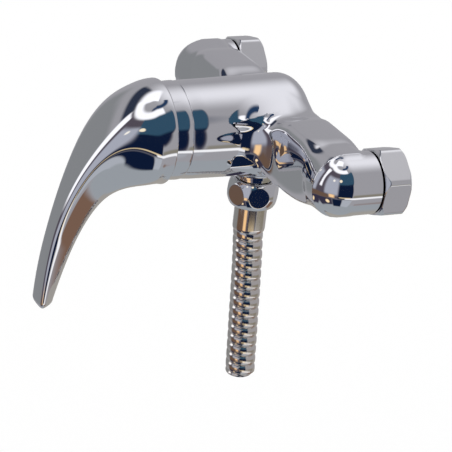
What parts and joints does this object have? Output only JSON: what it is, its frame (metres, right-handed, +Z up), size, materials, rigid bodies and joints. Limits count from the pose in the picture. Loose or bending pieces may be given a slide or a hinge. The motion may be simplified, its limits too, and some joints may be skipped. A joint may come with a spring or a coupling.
{
  "type": "wall mounted shower mixer",
  "caption": "Wall mounted single lever shower mixer: round barrel, two wing arms with union nuts, curved hanging handle, and a short piece of metal hose below.",
  "frame": {"origin": "midway between the two inlets, on the plane where the union nuts end and the wall pipes begin, at the height of the barrel's axis", "axes": "+Y points into the wall along the inlets and the barrel, X runs along the wall through both inlets with the cold inlet at +X, and +Z is up"},
  "size_m": [0.1824, 0.1395, 0.1578],
  "materials": {
    "chrome_body": "bright chrome plate on cast brass",
    "chrome_trim": "bright chrome plate on brass",
    "chrome_lever": "bright chrome plate on zinc casting",
    "chrome_nut": "bright chrome plate on turned brass",
    "chrome_hose": "bright chrome plate on stainless strip",
    "brass": "turned brass",
    "steel": "stainless steel",
    "white_plastic": "moulded",
    "blue_plastic": "moulded",
    "grey_plastic": "moulded",
    "ceramic": "lapped alumina",
    "black_rubber": "plain rubber"
  },
  "bodies": {
    "mixer": {"mixer_body": "chrome_body", "cover_ring": "chrome_trim", "cartridge_nut": "brass", "cartridge_housing": "white_plastic", "cartridge_base": "white_plastic", "port_seals": "black_rubber", "fixed_disc": "ceramic", "inlet_bush_hot": "chrome_nut", "inlet_bush_cold": "chrome_nut", "inlet_washer_hot": "black_rubber", "inlet_washer_cold": "black_rubber", "inlet_strainer_hot": "steel", "inlet_strainer_cold": "steel", "outlet_nipple": "chrome_nut", "outlet_seal": "black_rubber", "hose_nut": "chrome_nut", "hose_washer": "black_rubber", "hose_tail": "brass", "hose_sleeve": "chrome_hose", "hose_spiral": "chrome_hose", "hose_inner_tube": "black_rubber"},
    "turret": {"spindle_guide": "grey_plastic", "spindle_pin": "steel"},
    "handle": {"lever": "chrome_lever", "spindle": "brass", "lever_screw": "steel", "screw_plug": "grey_plastic"},
    "disc_slide": {"moving_disc": "ceramic", "disc_carrier": "blue_plastic"},
    "nut_hot": {"union_nut_hot": "chrome_nut"},
    "nut_cold": {"union_nut_cold": "chrome_nut"}
  },
  "joints": [
    {"name": "lever_turn", "type": "hinge", "parent": "mixer", "child": "turret", "pos_m": [0, -0.08, 0], "axis": [0, 1, 0], "range_deg": [-45, 45]},
    {"name": "lever_lift", "type": "hinge", "parent": "turret", "child": "handle", "pos_m": [0, -0.08, 0], "axis": [-1, 0, 0], "range_deg": [0, 22]},
    {"name": "disc_travel", "type": "slide", "parent": "turret", "child": "disc_slide", "axis": [0, 0, -1], "range_m": [0, 0.005]},
    {"name": "hot_nut_spin", "type": "hinge", "parent": "mixer", "child": "nut_hot", "pos_m": [-0.075, -0.007, 0], "axis": [0, 1, 0], "continuous": true},
    {"name": "cold_nut_spin", "type": "hinge", "parent": "mixer", "child": "nut_cold", "pos_m": [0.075, -0.007, 0], "axis": [0, 1, 0], "continuous": true}
  ],
  "couplings": [
    {"joint": "disc_travel", "follows": "lever_lift", "m_per_rad": 0.0127}
  ]
}
